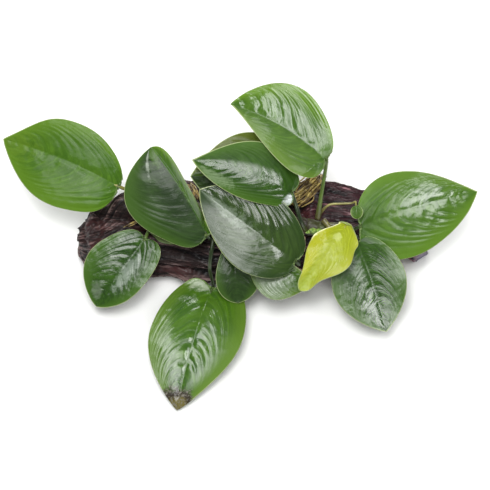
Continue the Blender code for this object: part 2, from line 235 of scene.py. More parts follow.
# Leaves. Pairs are the (left, right) halves. A blade runs from base, where the stalk joins it,
# to tip, and looks towards face. full says how far the widest place lies towards the tip, sharp
# how pointed the tip is, lobe how far the back lobe reaches, and bulges (row, half length, mm)
# where the margin stands out. A half rises at one angle and curls through another up to the
# margin, twist turns it from stalk to tip, and soft rounds the fold at the midrib. The midrib
# arches up to its crest and sweeps sideways; wave ruffles the margin. The stalk follows route and
# arrives at its pitch; lead is its last straight stretch, and share the size of a small leaf.
# quilt and dimples scale the relief, gloss and shine the wet sheen. The spots are painted on:
# row, side, half length, half width, colour and strength; some are the leaf's own colour, others
# painted highlights and painted shade.
leaves = {}
leaves["far_left"] = dict(
    base=(-66, 9.5, 43.6), tip=(-123.5, 34, 48.5), width=(23.5, 19.5), full=(1.9, 1.55),
    lobe=(0.03, 0.04), rise=(10, 8), curl=(-18, -16), sweep=-2,
    route=[(-37, 1.5, 35), (-50, 4.5, 40)], pitch=35, stalk="olive", look="bright", gloss=(0.2, 0.2),
    quilt=(0.5, 0.5),
    bulges=(((0.22, 0.12, 2), (0.75, 0.15, -1)),
            ((0.15, 0.14, -1.2), (0.62, 0.1, 1.3), (0.8, 0.12, -1))),
    spotsAndPaintedLight=((0.86, 0, 0.16, 1.2, (0.09, 0.165, 0.012), 0.5),
           (0.45, -0.4, 0.25, 0.35, (0.035, 0.095, 0.006), 0.6)))
leaves["left"] = dict(
    base=(-21.5, -18.5, 44), tip=(-49, 17.8, 66.6), face=(-0.05, -0.5, 0.87), width=(27.5, 12.5),
    full=(2.6, 2.2), lobe=(0.08, 0.03), sharp=(0.65, 0.6), rise=(4, -60), curl=(-12, -10),
    twist=(0, 14), soft=0.2, arch=1.5, sweep=-1.2, route=[(-25, -2.5, 33.5), (-23.5, -11, 34.5)],
    pitch=60, look="grey", rightLook="limeEdged", gloss=(0.42, 0.35), quilt=(0.55, 0.4), dimples=0.6,
    midrib=0.7, bulges=((), ((0.55, 0.2, -3.2), (0.86, 0.1, 1))),
    shine=((0.1, 0.4, 0.78, 0.95, 0.5, 0.8), (0.1, 0.3, 1, 1.1, 1, 1.1)),
    spotsAndPaintedLight=((0.89, 0.16, 0.13, 0.22, (0.05, 0.11, 0.011), 0.8),
           # painted highlight: the pale streak on the midrib's crease at the tip
           (0.88, 0.45, 0.15, 0.06, (0.36, 0.4, 0.33), 0.5),
           (0.55, 0.2, 0.16, 0.26, (0.01, 0.022, 0.007), 0.7)))
leaves["upper_middle"] = dict(
    base=(20, -4, 60), tip=(-28.5, 8.3, 70.5), face=(0.05, -0.5, 0.87), width=(13.5, 16),
    full=(1.6, 1.4), lobe=(0.08, 0.08), sharp=(0.9, 1.15), rise=(2, -9), curl=(-20, 18), crest=0.3,
    sweep=-3, route=[(28, -11, 33.5), (25, -12, 46)], pitch=80, look="deep", quilt=(0.7, 0.8),
    shine=((0.1, 0.3, 0.95, 1, 0.36, 0.62), (0.2, 0.42, 0.9, 1, 0.16, 0.4)),
    # painted highlights: the white glint on the lobe by the stalk, and the pale sheen along the lower
    # margin towards the tip
    spotsAndPaintedLight=((0.17, 0.5, 0.08, 0.42, (0.62, 0.66, 0.66), 0.8),
           (0.7, 0.78, 0.14, 0.25, (0.2, 0.27, 0.15), 0.5)))
leaves["centre"] = dict(
    base=(22, -31.1, 39.8), tip=(-25, -0.8, 57.3), width=(22, 20), full=(1.7, 1.7), lobe=(0.05, 0.05),
    rise=(7, 9), curl=(-4, -10), arch=3.5, crest=0.3, route=[(22, -10, 35), (22.5, -23, 35)], pitch=60,
    look="dark", gloss=(0.8, 1), quilt=(0.25, 1.8), dimples=0.8, bulges=(((0.6, 0.22, -3.6),), ()),
    shine=((0.12, 0.32, 0.72, 0.86, 1, 1.1), (0.3, 0.46, 1, 1.1, 1, 1.1)),
    # painted reflection: the pale feathery band along the midrib; painted shadow: the dark patch near
    # the tip, where the leaf above shades it
    spotsAndPaintedLight=((0.78, 0.08, 0.22, 0.3, (0.3, 0.36, 0.28), 0.4),
           (0.86, 0.5, 0.14, 0.5, (0.01, 0.03, 0.005), 0.7)))
leaves["top"] = dict(
    base=(36.5, 7.2, 73.5), tip=(-9.8, 35.4, 78.2), face=(0.1, -0.45, 0.88), width=(16, 21.5),
    full=(0.9, 1.9), lobe=(0.07, 0.05), sharp=(1.15, 0.85), rise=(11, 4), curl=(-4, -8), sweep=-3,
    route=[(33.5, -6.5, 38), (35, -2, 52)], pitch=85, stalk="green", look="fresh",
    rightLook="limeEdged", gloss=(0.35, 1), quilt=(0.15, 1.3), dimples=0.8,
    bulges=(((0.28, 0.12, 0.8), (0.6, 0.2, -0.5)), ((0.32, 0.2, -1.3), (0.8, 0.18, 1.7))))
leaves["bottom"] = dict(
    base=(-19.3, -34.6, 16), tip=(-36, -94.6, 2.5), face=(0, -0.25, 0.97), width=(23.4, 23.5),
    full=(1, 1.35), lobe=(0.11, 0.11), rise=(12, 9), curl=(-25, -25), arch=5, sweep=-1.5,
    route=[(-16.5, -4, 36), (-18.5, -19, 36), (-20, -27.7, 27)], look="decayed", quilt=(0.8, 1),
    dimples=0.7, bulges=(((0.68, 0.15, -1),), ((0.35, 0.2, -1.7),)),
    shine=((0.1, 0.35, 0.62, 0.9, 0.5, 0.9), (0.05, 0.25, 1, 1.1, 1, 1.1)),
    # painted highlight: pale glints on the back lobe by the stalk
    spotsAndPaintedLight=((0.15, -0.45, 0.1, 0.5, (0.5, 0.55, 0.42), 0.45),))
leaves["lower_left"] = dict(
    base=(-52.5, -15.6, 34), tip=(-76.5, -42.9, 14.3), width=(14, 18), full=(1.4, 2),
    lobe=(0.09, 0.07), sharp=(0.75, 0.75), rise=(16, 3), curl=(-16, -14), arch=1.5, crest=0.6,
    route=[(-31, -1.5, 34), (-28, -13, 33), (-35, -16, 32), (-44, -15.5, 32.5)], pitch=35,
    stalk="green", look="deep", gloss=(0.75, 1), quilt=(0.6, 0.85), dimples=1.2,
    bulges=(((0.2, 0.15, 2), (0.5, 0.15, -0.8)), ((0.55, 0.25, 0.6),)),
    # painted highlights: watery glints in the middle of the blade and near the tip
    spotsAndPaintedLight=((0.56, 0.22, 0.17, 0.26, (0.42, 0.48, 0.42), 0.35),
           (0.79, -0.45, 0.08, 0.3, (0.36, 0.4, 0.33), 0.2)))
leaves["behind"] = dict(
    base=(18.5, 9.9, 51.9), tip=(-29.5, 8.4, 54.5), width=(17, 22), full=(2, 1.3), lobe=(0.08, 0.08),
    curl=(-20, -20), arch=2, route=[(15, -3.5, 39), (16, 3, 45)], pitch=70, stalk="green",
    # the left half takes the shaded colours: painted shadow from the leaves above
    look="shaded", rightLook="olive", gloss=(0.05, 0.3), quilt=(0.8, 0.8))
leaves["yellow"] = dict(
    base=(47.6, -13.8, 44.9), tip=(24.3, -45, 34.6), face=(0.1, -0.5, 0.87), width=(12, 10.5),
    full=(1.5, 1.4), lobe=(0.05, 0), sharp=(0.7, 0.7), rise=(5, 5), curl=(-10, -15), wave=1.2,
    route=[(36, -6.5, 38), (42, -12, 36.5)], pitch=80, stalk="olive", look="yellow", gloss=(0.2, 0.2),
    quilt=(0.3, 0.3), dimples=1.4, midrib=0.15,
    bulges=(((0.13, 0.05, -1.5), (0.25, 0.05, 1.8), (0.42, 0.1, 1), (0.67, 0.13, -3.6)),
            ((0.24, 0.1, -1.2), (0.4, 0.05, 0.6), (0.66, 0.14, -2.8))),
    spotsAndPaintedLight=((0.52, -0.8, 0.3, 0.45, (0.33, 0.34, 0.008), 0.7),
           (0.6, 0.05, 0.25, 0.6, (0.36, 0.41, 0.09), 0.4),
           (0.24, -1, 0.2, 0.2, (0.85, 0.84, 0.5), 0.95),
           # painted highlight: a small pale glint by the midrib
           (0.4, -0.05, 0.05, 0.2, (0.55, 0.6, 0.25), 0.4),
           (1, 0, 0.3, 1.6, (0.3, 0.39, 0.08), 0.5)))
leaves["lower_right"] = dict(
    base=(53.3, -18.7, 35.3), tip=(67.5, -57, 14), face=(0.05, -0.5, 0.87), width=(17, 20.5),
    full=(1.6, 1.7), lobe=(0.07, 0.07), rise=(8, 12), curl=(-8, -10), arch=-1.2, sweep=1.2,
    route=[(37, -11, 32.5), (45, -16, 33)], look="deep", quilt=(0.4, 0.35), dimples=0.6,
    shine=((0.15, 0.35, 1, 1.1, 1, 1.1), (0.3, 0.65, 1, 1.1, 1, 1.1)))
leaves["far_right"] = dict(
    base=(55.3, -9.8, 37), tip=(113.8, 11.3, 35.4), face=(0, -0.45, 0.89), width=(20, 23.5),
    full=(1.1, 1), lobe=(0.02, 0.08), sharp=(1.05, 0.9), rise=(4, -2), curl=(-18, -8), arch=1.5,
    sweep=1.5, route=[(39, -8, 35), (47, -9, 36)], look="bright", gloss=(1, 0.7), quilt=(0.9, 0.8),
    dimples=0.8, bulges=((), ((0.75, 0.15, 1),)),
    shine=((0.4, 0.62, 0.76, 0.88, 1, 1.1), (0.35, 0.6, 0.76, 0.88, 0.6, 0.9)),
    # painted shade: the dark patch by the stalk, where the base folds and curves away from the light
    spotsAndPaintedLight=((0.18, 0.1, 0.24, 0.45, (0.02, 0.058, 0.003), 0.7),
           (1, 0, 0.05, 1.2, (0.13, 0.1, 0.02), 0.6)))
leaves["young"] = dict(
    base=(52.5, -2.5, 44.5), tip=(53.1, -8.2, 41.3), width=(3.3, 3.3), full=(1, 1), lobe=(0, 0),
    sharp=(0.5, 0.5), rise=(20, 20), curl=(0, 0), arch=0.5,
    route=[(34, -4.5, 37), (36.5, -2.5, 41), (39.5, -0.9, 42.8), (45, -0.6, 43.2), (50.5, -0.4, 43.4)],
    pitch=12, lead=0.6, share=0.55, stalk="olive", look="fresh", gloss=(0.6, 0.6), quilt=(0.3, 0.3),
    dimples=0.5)
leaves["under_left"] = dict(
    base=(-8.5, -17.1, 32.2), tip=(-6, -42.5, 17.2), width=(12, 10), full=(2.2, 3), lobe=(0.05, 0.05),
    sharp=(0.6, 0.6), curl=(-15, -15), arch=2, route=[(-7, -5.5, 37), (-8, -11, 36)], pitch=15,
    look="grey", gloss=(0.5, 0.5), quilt=(0.6, 0.6))
leaves["under_right"] = dict(
    base=(4.5, -26.6, 33.1), tip=(30.5, -37.5, 28), width=(5, 15.5), full=(1.6, 1.6), lobe=(0.05, 0.11),
    curl=(-10, -15), arch=2, route=[(8, -8, 35), (7, -17, 35)], pitch=85, look="fresh",
    # painted sheen: the pale patch on the blade
    gloss=(0.9, 0.9), quilt=(0.6, 0.6), spotsAndPaintedLight=((0.45, -0.55, 0.3, 0.6, (0.26, 0.3, 0.24), 0.5),))

# What a leaf has where its own row says nothing else
wet = (0.08, 0.34, 1, 1.1, 1, 1.1)
plainLeaf = dict(
    face=(0, -0.5, 0.87), sharp=(0.9, 0.9), bulges=((), ()), sweep=0,
    twist=(0, 0), soft=0, crest=0.5, wave=0, dimples=1, midrib=0.2,
    share=1, lead=4, stalk="dark", spotsAndPaintedLight=(), shine=(wet, wet), arch=3,
    gloss=(1, 1), pitch=45, rise=(8, 8))

# How every blade is drawn: the outline, then the veins, the skin between them, the thickness
blade = dict(
    roundness=0.5, lobeNarrowness=16, veinLag=1.6, veinBow=0.035, flatBase=0.15,
    ruffles=2.5, rows=170, columns=84, merge=0.004, seam=0.06,
    veins=8, veinSweep=0.75, veinBend=1.8, fan=0.12,
    wander=0.34, wanderScale=(5, 2), fineWander=0.3, fineScale=(14, 6),
    veinSunk=0.12, veinHalfWidth=0.14, pillow=0.06, streak=0.06,
    streakScale=(3, 3), ripple=0.16, rippleScale=(1.7, 2.6),
    patchScale=0.055, patchRange=(-0.45, 0.35), patchLeast=0.15,
    quiltFrom=0.14, quiltTo=0.75, quiltLoss=0.8, quiltRows=(0.1, 0.84),
    swell=0.5, swellScale=0.07, swellFrom=0.06,
    dimple=0.05, dimpleScale=0.6, wideDimple=2.2, wideScale=0.42,
    line=0.05, lineFrom=0.05, midribLine=0.5,
    midribGroove=0.15, midribWidth=1.6, grooveRows=(0.08, 0.75),
    thickness=0.5, edgeThickness=0.2, fullFrom=4, thinnest=0.15,
    keel=1.1, keelWidth=1.2, keelTaper=0.7, veinKeel=0.16)


def leafFrame(leaf):
    base = Vector(leaf["base"])
    forward = Vector(leaf["tip"]) - base
    length = forward.length
    forward.normalize()
    up = Vector(leaf["face"])
    up = (up - forward * up.dot(forward)).normalized()
    return base, forward, up.cross(forward), up, length


def halfWidth(s, full, sharp):
    round_ = blade["roundness"]
    widest = (round_ / (round_ + sharp * full)) ** (1 / full)
    peak = widest ** round_ * (1 - widest ** full) ** sharp
    return s ** round_ * max(1 - s ** full, 0.0) ** sharp / peak


def backNotch(s):
    narrow = blade["lobeNarrowness"]
    deepest = 1 / (1 + narrow)
    peak = deepest ** 0.5 * (1 - deepest) ** (narrow / 2)
    return s ** 0.5 * (1 - s) ** (narrow / 2) / peak


def midribHeight(leaf, s):
    # highest at the crest
    crest = leaf["crest"]
    rise, fall = max(crest / (1 - crest), 1), max((1 - crest) / crest, 1)
    peak = (rise / (rise + fall)) ** rise * (fall / (rise + fall)) ** fall
    return leaf["arch"] * s ** rise * (1 - s) ** fall / peak


def bladePoint(leaf, axes, row, column):
    # row 0..1 from the stalk to the tip, column -1..1 from the right margin to the left one
    base, forward, left, up, length = axes
    side = 0 if column >= 0 else 1
    t = abs(column)
    sOut = sin(row * pi / 2) ** 2
    sMid = sOut ** blade["veinLag"]
    uOut = length * (sOut - leaf["lobe"][side] * backNotch(sOut))
    u = length * sMid + (uOut - length * sMid) * t
    u -= blade["veinBow"] * length * 4 * t * (1 - t) * sin(pi * row)
    span = leaf["width"][side] * halfWidth(sOut, leaf["full"][side], leaf["sharp"][side])
    for at, wide, out in leaf["bulges"][side]:
        span += out * exp(-((row - at) / wide) ** 2)
    reach = span * t
    twist = leaf["twist"][side] * (2 * sOut - 1)
    tilt = radians(leaf["rise"][side] + twist + leaf["curl"][side] * t / 2)
    tilt *= min(sOut / blade["flatBase"], 1.0) * ease(-0.001, leaf["soft"], t)
    sHere = min(max(u / length, 0.0), 1.0)
    v = reach * cos(tilt) * (1 if side == 0 else -1)
    v += leaf["sweep"] * 4 * sHere * (1 - sHere)
    w = reach * sin(tilt) + midribHeight(leaf, sHere)
    w += leaf["wave"] * sin(row * blade["ruffles"] * 2 * pi + side * 2) * t * t
    return base + forward * u + left * v + up * w, span, u / length


def skinNoise(key, along, t, seed):
    return noiseAt(along * blade[key][0], t * blade[key][1], seed)


def veinPhase(s, t, seed):
    # side veins leave the midrib slanting and bend until they run with the margin to the tip;
    # whole numbers are veins
    bend = blade["veinSweep"] * t ** blade["veinBend"]
    start = (s - bend) / (1 - bend)
    if start < 0:
        start = -blade["fan"] * log(1 - start / blade["fan"])
    wander = blade["wander"] * skinNoise("wanderScale", start, t, seed)
    wander += blade["fineWander"] * blade["wander"] * skinNoise("fineScale", start, t, seed)
    return start * blade["veins"] + wander


def fadedEnds(rows, row):
    # 1 between the two rows, 0 at the stalk and at the tip
    return ease(0.0, rows[0], row) * (1 - ease(rows[1], 1.0, row))


def quilting(leaf, row, t, side, phase, seed, point):
    # the skin stands up between the veins, more in some places than in others
    away = abs(phase - round(phase))
    height = -blade["veinSunk"] * exp(-(away / blade["veinHalfWidth"]) ** 2)
    height -= blade["pillow"] * cos(2 * pi * phase)
    height += blade["streak"] * skinNoise("streakScale", phase, t, seed)
    height += blade["ripple"] * skinNoise("rippleScale", phase, t, seed + 5)
    patch = noise.noise(point * blade["patchScale"] + Vector((0, 0, seed)))
    height *= ease(*blade["patchRange"], patch) + blade["patchLeast"]
    near = ease(0.0, blade["quiltFrom"], t)
    near *= 1 - blade["quiltLoss"] * ease(blade["quiltTo"], 1.0, t)
    height *= near * fadedEnds(blade["quiltRows"], row) * leaf["quilt"][side]
    swell = blade["swell"] * noise.noise(point * blade["swellScale"] + Vector((seed, 0, 0)))
    dimple = noise.noise(point * blade["dimpleScale"] + Vector((0, seed, 0)))
    wide = point * blade["dimpleScale"] * blade["wideScale"] + Vector((0, 0, seed))
    dimple += blade["wideDimple"] * noise.noise(wide)
    swell += blade["dimple"] * leaf["dimples"] * dimple
    return (height + swell * ease(0.0, blade["swellFrom"], row)) * leaf["share"]


def shineAt(leaf, side, row, t):
    # the wet shine grows between the first two rows, ends between the next two, and towards
    # the margin between the last two
    grow, full, fade, gone, out, edge = leaf["shine"][side]
    least = skin["leastShine"]
    share = least + (1 - least) * ease(grow, full, row)
    return share * (1 - ease(fade, gone, row)) * (1 - ease(out, edge, t))


def makeBlade(name, leaf, finishes, seed):
    share = leaf["share"]
    rows = round(blade["rows"] * share)
    columns = 2 * round(blade["columns"] * share / 2)
    axes = leafFrame(leaf)
    bm = bmesh.new()
    # each point remembers its row and side, its vein, and the half width of the blade there
    rowOf, sideOf, veinOf, phaseOf, spanOf, glossOf = [
        bm.verts.layers.float.new(key) for key in ("row", "side", "vein", "phase", "span", "gloss")]
    bmesh.ops.create_grid(bm, x_segments=rows, y_segments=columns, size=1)
    for vert in bm.verts:
        row, column = (vert.co.x + 1) / 2, vert.co.y
        point, span, along = bladePoint(leaf, axes, row, column)
        vert[rowOf], vert[sideOf], vert[spanOf] = row, column, span
        vert[phaseOf] = veinPhase(along, abs(column), seed + (column > 0))
        leftShare = ease(-blade["seam"], blade["seam"], column)
        shine = [leaf["gloss"][half] * shineAt(leaf, half, row, abs(column)) for half in (0, 1)]
        vert[glossOf] = shine[0] * leftShare + shine[1] * (1 - leftShare)
        vert.co = point
    bmesh.ops.remove_doubles(bm, verts=bm.verts, dist=blade["merge"])
    bm.normal_update()
    for vert in bm.verts:
        row, t, phase = vert[rowOf], abs(vert[sideOf]), vert[phaseOf]
        reach = vert[spanOf] * t
        half = 0 if vert[sideOf] > 0 else 1
        lift = quilting(leaf, row, t, half, phase, seed, vert.co)
        groove = exp(-(reach / (blade["midribWidth"] * share)) ** 2)
        fade = fadedEnds(blade["grooveRows"], row)
        lift -= blade["midribGroove"] * share * groove * fade
        away = abs(phase - round(phase))
        line = exp(-(away / blade["line"]) ** 2) * ease(0.0, blade["lineFrom"], row)
        midrib = exp(-(reach / blade["midribLine"]) ** 2) * leaf["midrib"]
        vert[veinOf] = max(line * (1 - 0.5 * t), midrib)
        vert.co += vert.normal * lift * ease(0.0, blade["fullFrom"], vert[spanOf])
    # the underside, with a keel below the midrib: the skin is extruded and the old one sinks
    bm.normal_update()
    sinks = []
    for vert in bm.verts:
        row, t = vert[rowOf], abs(vert[sideOf])
        depth = blade["thickness"] + (blade["edgeThickness"] - blade["thickness"]) * t ** 4
        keel = exp(-(vert[spanOf] * t / blade["keelWidth"]) ** 2) * (1 - row) ** blade["keelTaper"]
        depth += blade["keel"] * keel + blade["veinKeel"] * vert[veinOf] * (1 - t)
        thin = blade["thinnest"]
        depth *= thin + (1 - thin) * ease(0, blade["fullFrom"], vert[spanOf])
        sinks.append((vert, vert.normal * depth * share))
    under = bm.faces[:]
    bmesh.ops.extrude_face_region(bm, geom=under, use_keep_orig=True)
    for vert, sink in sinks:
        vert.co -= sink
    for face in under:
        face.material_index = 1
    addPiece("blade_" + name, bm, finishes, frameSlot("leaf_" + name), "leaf_" + name)


def frameSlot(node):
    # the slot that the record gives a node
    for row in frame["record"]["subparts"]:
        if row["node"] == node:
            return row["material_slot"]
    return frame["record"]["materials"][0]["slot"]


# The colours of each kind of leaf: body, shade (its darker colour, used for patches and for the
# painted shade in the vein valleys and towards the stalk) and edge (towards the margin)
leafLooks = dict(
    bright=((0.054, 0.12, 0.009), (0.032, 0.088, 0.005), (0.074, 0.156, 0.01)),
    fresh=((0.052, 0.112, 0.011), (0.028, 0.074, 0.006), (0.08, 0.15, 0.014)),
    limeEdged=((0.06, 0.135, 0.01), (0.036, 0.095, 0.007), (0.1, 0.2, 0.011)),
    deep=((0.023, 0.065, 0.004), (0.011, 0.038, 0.002), (0.04, 0.098, 0.008)),
    dark=((0.027, 0.055, 0.009), (0.016, 0.036, 0.006), (0.018, 0.042, 0.007)),
    # painted shadow: a darker copy of the leaf colours, for the half of a leaf that lies in the shade
    # of the leaves above
    shaded=((0.011, 0.025, 0.005), (0.006, 0.014, 0.003), (0.018, 0.036, 0.006)),
    grey=((0.02, 0.045, 0.009), (0.009, 0.024, 0.004), (0.036, 0.08, 0.011)),
    olive=((0.039, 0.073, 0.009), (0.021, 0.041, 0.007), (0.077, 0.103, 0.01)),
    yellow=((0.25, 0.29, 0.016), (0.215, 0.255, 0.009), (0.3, 0.33, 0.035)),
    decayed=((0.048, 0.115, 0.006), (0.02, 0.068, 0.003), (0.076, 0.15, 0.012)))
skin = dict(
    rim=(0.3, 0.36, 0.16), rimWidth=0.34, vein=1.35, veinShare=0.14, valley=0.6,
    seam=(-0.06, 0.03), patch=(0.35, 0.68), foot=(0.3, 0.08), edge=(0.45, 1),
    streak=(0.42, 0.75), streakScale=(4.5, 3), streakGain=1.3, valleys=(0.26, 0),
    spot=(3, 1.6), rags=3, feather=0.4, rough=0.44, spread=0.2, dull=0.3,
    coatRough=0.09, coatIor=1.75, specular=0.05, wetSpecular=0.13, leastShine=0.12,
    wrinkle=0.00013, under=(0.16, 0.26, 0.07), underVein=(0.3, 0.38, 0.12))
# The dead tip of a decayed leaf: the rows over which each colour sets in
decay = dict(
    rags=0.16, brown=((0.84, 0.885), (0.022, 0.016, 0.008)),
    rot=((0.9, 0.95), (0.1, 0.085, 0.018)), mould=((0.82, 0.88), (0.14, 0.13, 0.1)))


def leafTop(name, look, leaf):
    wetness = skin["wetSpecular"] * max(leaf["gloss"])
    made, tree, shader = newMaterial(name, Coat_Roughness=skin["coatRough"],
                                     Coat_IOR=skin["coatIor"],
                                     Specular_IOR_Level=skin["specular"] + wetness)
    row, side, vein = ownValue(tree, "row"), ownValue(tree, "side"), ownValue(tree, "vein")
    phase, gloss = ownValue(tree, "phase"), ownValue(tree, "gloss")
    feed(shader, "Coat Weight", gloss)
    t = maths("ABSOLUTE", side)
    body, shade, edge = look
    streaky = [c * skin["streakGain"] for c in body]
    pale = [min(c * skin["vein"] + 0.01, 1) for c in edge]
    if "rightLook" in leaf:
        left = ramp(side, *skin["seam"])
        other = leafLooks[leaf["rightLook"]]
        body, shade, edge = [mix(left, there, here) for there, here in zip(other, look)]
    patches = ramp(objectNoise(tree, 75), *skin["patch"])
    color = mix(patches, body, shade)
    # darker towards the stalk: partly the leaf's own tone and partly painted shade
    color = mix(ramp(row, *skin["foot"]), color, shade)
    # fine streaks that follow the veins
    along, across = skin["streakScale"]
    feeds = {"X": times(phase, along), "Y": times(side, across)}
    place = addNode(tree, "CombineXYZ", feeds).outputs[0]
    feeds = {"Vector": place, "Scale": 1.0, "Detail": 3.0}
    streaks = addNode(tree, "TexNoise", feeds).outputs["Fac"]
    color = mix(ramp(streaks, *skin["streak"]), color, streaky)
    # painted shade: the valleys over the side veins are darker than the skin between them
    valley = ramp(maths("PINGPONG", phase, 0.5), *skin["valleys"])
    color = mix(times(valley, skin["valley"]), color, shade)
    color = mix(ramp(t, *skin["edge"]), color, edge)
    color = mix(times(vein, skin["veinShare"]), color, pale)
    inwards = times(minus(1.0, t), ownValue(tree, "span"))
    color = mix(ramp(inwards, skin["rimWidth"], 0.1), color, skin["rim"])
    rags = times(objectNoise(tree, 650, 5, rough=0.7), skin["rags"])
    feather = times(valley, skin["feather"])
    for at, aside, long, wide, tint, strength in leaf["spotsAndPaintedLight"]:
        # spots with a ragged outline: some the leaf's own colour, others painted highlights and painted
        # shade
        along = maths("DIVIDE", minus(row, at), long)
        across = maths("DIVIDE", minus(side, aside), wide)
        away = plus(times(along, along), times(across, across))
        away = plus(plus(away, rags), feather)
        inside = times(ramp(away, *skin["spot"]), strength)
        color = mix(inside, color, tint)
    if leaf["look"] == "decayed":
        ragged = plus(row, times(objectNoise(tree, 170, 5, rough=0.7), decay["rags"]))
        for rows, tint in (decay["brown"], decay["rot"]):
            color = mix(ramp(ragged, *rows), color, tint)
        specks = ramp(objectNoise(tree, 900, 4, rough=0.7), 0.52, 0.6)
        rows, tint = decay["mould"]
        color = mix(times(specks, ramp(ragged, *rows)), color, tint)
    feed(shader, "Base Color", color)
    rough = plus(times(objectNoise(tree, 420), skin["spread"]), skin["rough"])
    feed(shader, "Roughness", minus(rough, times(gloss, skin["dull"])))
    fine = bump(shader, objectNoise(tree, 1500), 0.0001, 0.35)
    wrinkled = bump(shader, times(streaks, gloss), skin["wrinkle"], 1.0, fine)
    feed(shader, "Coat Normal", wrinkled)
    return made


def leafUnder(name, look):
    made, tree, shader = newMaterial(name, Coat_Weight=0.1, Coat_Roughness=0.3, Roughness=0.5)
    vein = ownValue(tree, "vein")
    patches = ramp(objectNoise(tree, 90), 0.3, 0.7)
    pale = [0.5 * a + 0.5 * b for a, b in zip(look[0], skin["under"])]
    color = mix(patches, pale, [c * 0.78 for c in pale])
    color = mix(times(vein, 0.7), color, skin["underVein"])
    feed(shader, "Base Color", color)
    bump(shader, objectNoise(tree, 1300), 0.0001, 0.5)
    return made


# Stems and roots: a grid is rolled round a smooth path, and its seam and ends are merged
def smoothPath(points, steps=14):
    # the points of a smooth curve through the given ones, with how far along it each one lies
    points = [Vector(p) for p in points]
    last = len(points) - 1
    aims = [(points[min(i + 1, last)] - points[max(i - 1, 0)]).normalized() for i in range(last + 1)]
    path = [points[0]]
    for i in range(last):
        a, b = points[i], points[i + 1]
        pull = (b - a).length / 3
        piece = geometry.interpolate_bezier(a, a + aims[i] * pull, b - aims[i + 1] * pull, b, steps)
        path.extend(piece[1:])
    gone = [0.0]
    for a, b in zip(path, path[1:]):
        gone.append(gone[-1] + (b - a).length)
    return path, [g / gone[-1] for g in gone]


def pathPoint(smooth, u):
    path, gone = smooth
    u = min(max(u, 0.0), 1.0)
    for i in range(len(gone) - 1):
        if u <= gone[i + 1]:
            break
    f = (u - gone[i]) / max(gone[i + 1] - gone[i], 1e-9)
    return path[i].lerp(path[i + 1], f)


def pathAim(smooth, u):
    return (pathPoint(smooth, u + 0.02) - pathPoint(smooth, u - 0.02)).normalized()


def between(values, u):
    at = min(max(u, 0.0), 1.0) * (len(values) - 1)
    i = min(int(at), len(values) - 2)
    return values[i] + (values[i + 1] - values[i]) * (at - i)


def rolled(bm, smooth, radiusAt, along, around):
    uOf = bm.verts.layers.float.get("along") or bm.verts.layers.float.new("along")
    made = bmesh.ops.create_grid(bm, x_segments=along, y_segments=around, size=1)
    frames = []
    side = pathAim(smooth, 0).orthogonal()
    for i in range(along + 1):
        aim = pathAim(smooth, i / along)
        side = (side - aim * side.dot(aim)).normalized()
        frames.append((pathPoint(smooth, i / along), side, aim.cross(side)))
    for vert in made["verts"]:
        i = round((vert.co.x + 1) / 2 * along)
        angle = (vert.co.y + 1) * pi
        here, sideways, across = frames[i]
        vert[uOf] = i / along
        radius = radiusAt(i / along, angle)
        vert.co = here + (sideways * cos(angle) + across * sin(angle)) * radius


def closedEnds(u, sharpness=0.03):
    # rounds the two ends of a stem off to a point
    near = min(u, 1 - u) / sharpness
    return sqrt(max(1 - max(1 - near, 0.0) ** 2, 0.0))


def finishTube(name, bm, finish, slot, *stands):
    bmesh.ops.remove_doubles(bm, verts=bm.verts, dist=0.002)
    addPiece(name, bm, [finish], slot, *stands)


stalks = dict(
    radius=0.85, flare=0.25, sheath=0.5, sheathTo=0.35, gap=1.45, along=70, around=18,
    ribs=0.05, underBlade=4.5, underMidrib=1.1, dip=0.2, thinTip=0.35, thinFrom=5.5)


def stalkRoute(leaf):
    base, forward, _, up, length = leafFrame(leaf)
    pitch = radians(leaf["pitch"])
    arrival = forward * cos(pitch) + up * sin(pitch)
    end = base - arrival * stalks["gap"]
    lead = end - arrival * leaf["lead"]
    # the last points run on under the midrib
    reach = stalks["underBlade"]
    keel = base + forward * reach
    keel += up * (midribHeight(leaf, reach / length) - stalks["underMidrib"])
    return [Vector(p) for p in leaf["route"]] + [lead, end - up * stalks["dip"], keel]


def makeStalk(name, leaf, finish):
    share = leaf["share"]
    smooth = smoothPath(stalkRoute(leaf))
    long = sum((b - a).length for a, b in zip(smooth[0], smooth[0][1:]))

    def radiusAt(u, angle):
        # a sheath at the foot, and a point that runs out under the midrib
        left = (1 - u) * long
        sheath = stalks["sheath"] * (1 - ease(0.0, stalks["sheathTo"], u))
        radius = stalks["radius"] * (1 + stalks["flare"] * (1 - u) + sheath) * share
        thin = stalks["thinTip"]
        radius *= thin + (1 - thin) * ease(0.0, stalks["thinFrom"], left)
        return radius * closedEnds(u) * (1 + stalks["ribs"] * sin(angle * 3 + u * 4))

    bm = bmesh.new()
    rolled(bm, smooth, radiusAt, stalks["along"], stalks["around"])
    finishTube("petiole_" + name, bm, finish, "stalk", "stalk_" + name)


# The colours of each kind of stalk: light, dark and where it meets the blade
stalkLooks = dict(
    green=((0.085, 0.14, 0.022), (0.045, 0.08, 0.014), (0.13, 0.2, 0.035)),
    # dark is painted shade: a darker copy of the green stalk, for the stalks that lie in shade under
    # the blades
    dark=((0.024, 0.042, 0.01), (0.01, 0.022, 0.005), (0.045, 0.075, 0.015)),
    olive=((0.24, 0.22, 0.045), (0.13, 0.12, 0.025), (0.25, 0.27, 0.06)))


